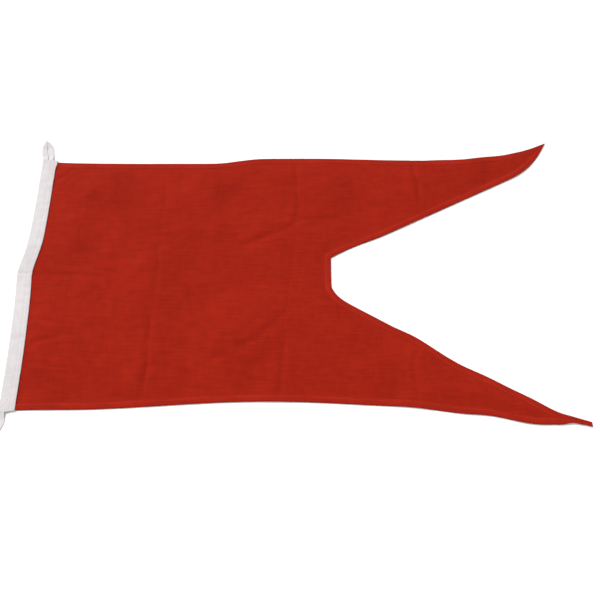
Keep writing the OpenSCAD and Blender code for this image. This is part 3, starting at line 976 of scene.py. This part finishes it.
def fabric(name, light, dark, edge_wear_and_shade, pitch, slub, twill=False, sheen=(1, 1, 1, 1)):
    """Woven cloth: crossing threads with slubs, soft changes of tone, and an edge colour where the mesh says
    so, which is wear on the bunting and painted shade on its hems, the heading and the straps.

    The pitch is from thread to thread, and slub is the share of the uneven threads in the tone.
    """
    n = Nodes(name)
    warp = n.wave(pitch, "Y")
    weft = n.wave(pitch * 1.6, "DIAGONAL") if twill else n.wave(pitch, "X")
    weave = n.weighted((warp, 0.5), (weft, 0.5))
    fine = n.noise(1100, 2.0, 0.5, (0.03, 1, 0.03))
    coarse = n.noise(330, 2.0, 0.5, (0.06, 1, 0.06))
    down = n.noise(700, 2.0, 0.5, (1, 0.03, 0.03))
    slubs = n.weighted((fine, 0.3), (coarse, 0.45), (down, 0.25))
    mottle = n.noise(70, 4.0, 0.6)
    tone = n.weighted((n.noise(9, 3.0), 0.5), (mottle, 0.5))
    tone = n.ramp(n.weighted((tone, 1 - slub), (slubs, slub)), 0.39, 0.59)
    tone = n.weighted((tone, 0.85), (weave, 0.15), clamp=True)
    colour = n.mix(tone, dark, light)
    patchy = n.ramp(mottle, 0.35, 0.65, 0.25, 1.0)
    # Mixes in the edge colour: wear on the cloth, painted shade on the hems, heading and straps.
    wear_and_shade = n.math("MULTIPLY", n.attribute("wear_and_shade").outputs["Fac"], patchy, True)
    colour = n.mix(wear_and_shade, colour, edge_wear_and_shade)
    height = n.weighted((weave, 0.7), (slubs, 0.8))
    n.put(n.shader, Base_Color=colour, Roughness=n.ramp(mottle, 0.3, 0.7, 0.82, 0.95),
          Normal=n.bump(height, pitch * 0.5, 0.5), Sheen_Weight=0.06, Sheen_Roughness=0.5, Sheen_Tint=sheen,
          Specular_IOR_Level=0.12, Specular_Tint=sheen)
    return n.material


def thread(name, light, dark):
    """Twisted sewing thread."""
    n = Nodes(name)
    ply = n.wave(0.5 * MM, "DIAGONAL", 0.4)
    tone = n.weighted((ply, 0.55), (n.noise(300, 2.0), 0.45))
    n.put(n.shader, Base_Color=n.mix(tone, dark, light), Roughness=n.ramp(tone, 0, 1, 0.6, 0.75),
          Normal=n.bump(ply, 0.05 * MM, 0.6), Sheen_Weight=0.1, Specular_IOR_Level=0.3)
    return n.material


RED_GLOSS = (1, 0.3, 0.2, 1)
# The bunting's edge colour is wear, just inside the hems.
red_cloth = fabric(
    "red_bunting_weave", light=(0.335, 0.0156, 0.0064, 1), dark=(0.230, 0.0094, 0.0038, 1),
    edge_wear_and_shade=(0.299, 0.0149, 0.0066, 1), pitch=0.5 * MM, slub=0.5, sheen=RED_GLOSS,
)
# The hems are a lighter copy of the bunting, a painted highlight on their raised ridge, and their edge colour
# is a painted shade on their rolled outer edge.
red_cloth_hem_painted_light = fabric(
    "red_bunting_hem_painted_light", light=(0.364, 0.0175, 0.0075, 1), dark=(0.265, 0.0109, 0.0045, 1),
    edge_wear_and_shade=(0.201, 0.0085, 0.0036, 1), pitch=0.5 * MM, slub=0.5, sheen=RED_GLOSS,
)
red_thread = thread("red_sewing_thread", light=(0.50, 0.045, 0.020, 1), dark=(0.30, 0.018, 0.008, 1))
# The tape's edge colour is painted shade along its sides and ends.
white_tape = fabric(
    "white_twill_tape", light=(0.668, 0.6291, 0.6377, 1), dark=(0.563, 0.5245, 0.5331, 1),
    edge_wear_and_shade=(0.482, 0.4472, 0.4429, 1), pitch=0.7 * MM, slub=0.2, twill=True,
)
# The strap's edge colour is painted shade along its sides, and darkens its tip.
white_strap = fabric(
    "white_strap_weave", light=(0.680, 0.6480, 0.6520, 1), dark=(0.585, 0.5530, 0.5570, 1),
    edge_wear_and_shade=(0.448, 0.4200, 0.4080, 1), pitch=0.6 * MM, slub=0.2,
)
white_thread = thread("white_sewing_thread", light=(0.84, 0.82, 0.81, 1), dark=(0.60, 0.575, 0.57, 1))


# --- Build -----------------------------------------------------------------------------------------

SETTLED = settled_grid()

for name, (stem, before, body, fold) in PANES.items():
    cloth, size, area = cloth_piece(name)
    hems = hem_piece(name)
    sewing = hem_thread_piece(name)
    for obj in (cloth, hems, sewing):
        if before is None:
            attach(obj, body)
        else:
            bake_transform(obj)
    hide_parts(stem, *(["hoist_tucked_edge"] if name == "hoist" else []))
    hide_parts(stem + "_hems")
    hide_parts(stem + "_hem_thread")

heading = heading_piece()
heading_thread = heading_thread_piece()
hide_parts("heading_tape")
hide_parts("heading_seam_thread", "upper_loop_tack", "lower_loop_tack")
for obj in (heading, heading_thread):
    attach(obj, "hoist_part")

for side in ("upper", "lower"):
    strap = loop_piece(side)
    hinge = HINGES[side + "_loop_flip"]
    axis = AXES[side + "_loop_flip"]
    out = Vector((0, 0, 1)).cross(axis)
    out *= math.copysign(1, out.y * hinge.y)
    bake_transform(strap)
    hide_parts(side + "_loop", side + "_loop_anchor")


# --- Stage -----------------------------------------------------------------------------------------

def floor_paper(name, colour, rough):
    """Plain paper, with the faintest change of tone."""
    n = Nodes(name)
    shade = n.tree.nodes.new("ShaderNodeTexNoise")
    n.put(shade, Scale=3.0)
    lighter = (*(c * 1.005 for c in colour[:3]), 1)
    n.put(n.shader, Base_Color=n.mix(shade.outputs["Fac"], colour, lighter), Roughness=rough,
          Specular_IOR_Level=0.1)
    return n.material


floor_mesh = bpy.data.meshes.new("floor")
floor_mesh.from_pydata([(-6, -6, 0), (6, -6, 0), (6, 6, 0), (-6, 6, 0)], [], [(0, 1, 2, 3)])
floor_mesh.materials.append(floor_paper("pale_floor", colour=(0.95, 0.95, 0.95, 1), rough=0.9))
floor = bpy.data.objects.new("floor", floor_mesh)
bpy.context.scene.collection.objects.link(floor)


FLAG_MIDDLE = Vector((0.44, 0, 0))


def soft_light(name, place, size, power):
    """A round lamp that faces the flag."""
    light = bpy.data.lights.new(name, "AREA")
    light.shape, light.size, light.energy = "DISK", size, power
    obj = bpy.data.objects.new(name, light)
    obj.location = place
    obj.rotation_euler = (FLAG_MIDDLE - Vector(place)).to_track_quat("-Z", "Y").to_euler()
    bpy.context.scene.collection.objects.link(obj)


soft_light("key", place=(-9.2, 10.4, 13.4), size=7.2, power=3620)
world = bpy.data.worlds.new("studio")
world.use_nodes = True
world.node_tree.nodes["Background"].inputs["Color"].default_value = (1, 1, 1, 1)
world.node_tree.nodes["Background"].inputs["Strength"].default_value = 0.66
bpy.context.scene.world = world
bpy.context.scene.view_settings.view_transform = "Standard"

# The camera, as it was fitted to the photo.
camera_data = bpy.data.cameras.new("camera")
camera_data.lens = camera_data.sensor_width = 36
camera_data.clip_start = 0.01
camera = bpy.data.objects.new("camera", camera_data)
camera.location = (0.448, -0.406, 0.916)
PAN, TILT, ROLL = (math.radians(degrees) for degrees in (-0.097, 21.444, -0.298))
turn = Euler((0, 0, PAN)).to_matrix() @ Euler((TILT, 0, 0)).to_matrix() @ Euler((0, 0, ROLL)).to_matrix()
camera.rotation_euler = turn.to_euler()
bpy.context.scene.collection.objects.link(camera)
bpy.context.scene.camera = camera
